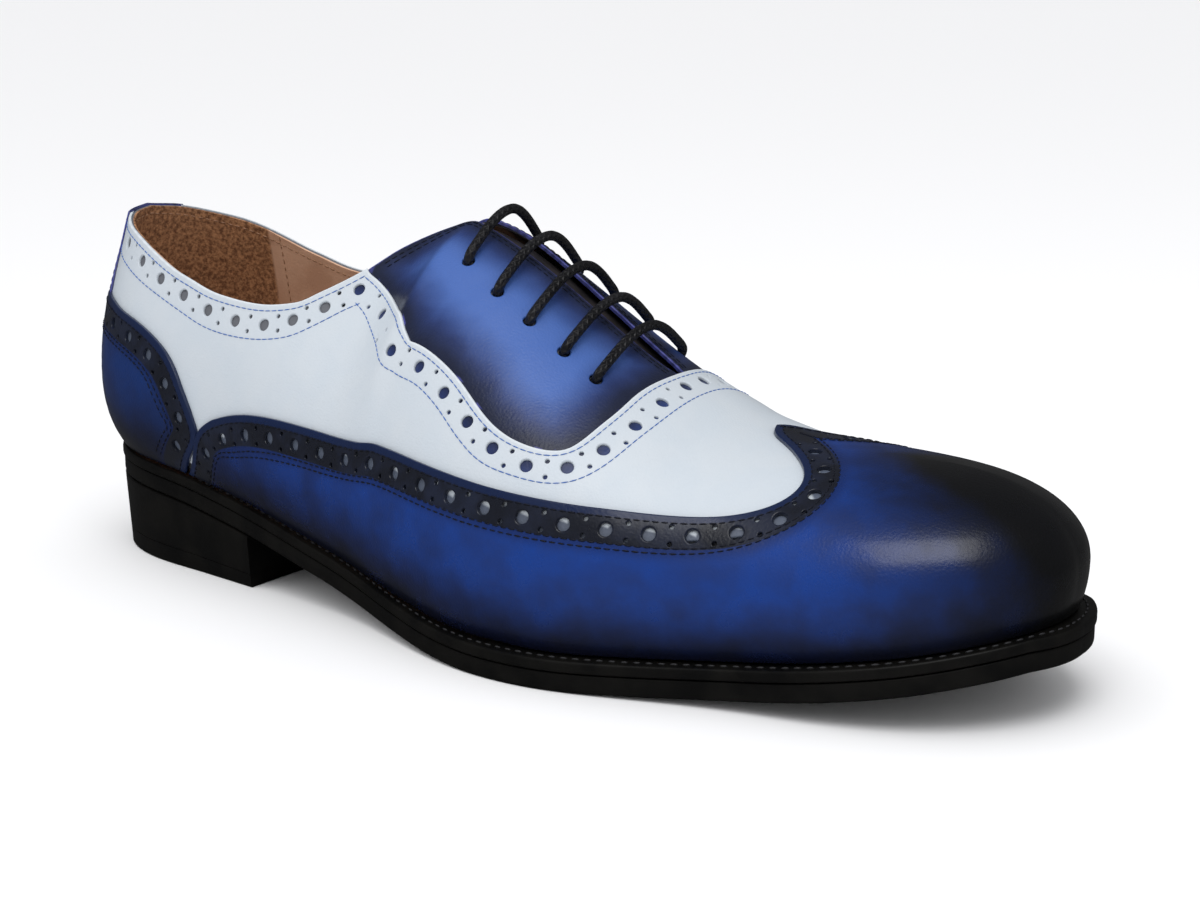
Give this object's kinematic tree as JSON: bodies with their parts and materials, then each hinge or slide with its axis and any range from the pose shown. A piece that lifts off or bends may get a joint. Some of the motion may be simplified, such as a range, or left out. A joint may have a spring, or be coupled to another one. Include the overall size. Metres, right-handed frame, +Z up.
{
  "type": "spectator shoe",
  "caption": "Right lace-up spectator shoe in white and blue leather, with a wing-shaped toe cap, heel counter, closed-front facings, round laces and a stacked black heel.",
  "frame": {"origin": "centre of the bounding box, on the floor that the heel and forefoot rest on", "axes": "+X to the toe, +Z up, -Y to the outer side of the right foot"},
  "size_m": [0.3138, 0.1056, 0.1097],
  "materials": {
    "white_leather": "smooth white leather, satin",
    "blue_leather": "burnished blue leather, darkened at the edges and toe",
    "navy_leather": "dark smooth leather",
    "black_sole": "black satin edge",
    "tan_lining": "tan lining leather, matt",
    "black_cord": "round waxed cord"
  },
  "bodies": {
    "root": {"upper": "white_leather", "wingtip": "blue_leather", "heel_counter": "blue_leather", "back_strip": "blue_leather", "tongue": "navy_leather", "insole": "tan_lining", "welt": "black_sole", "outsole": "black_sole", "heel": "black_sole", "lace_bar_1": "black_cord", "lace_bar_2": "black_cord", "lace_bar_3": "black_cord", "lace_bar_4": "black_cord", "lace_bar_5": "black_cord"}
  },
  "joints": []
}
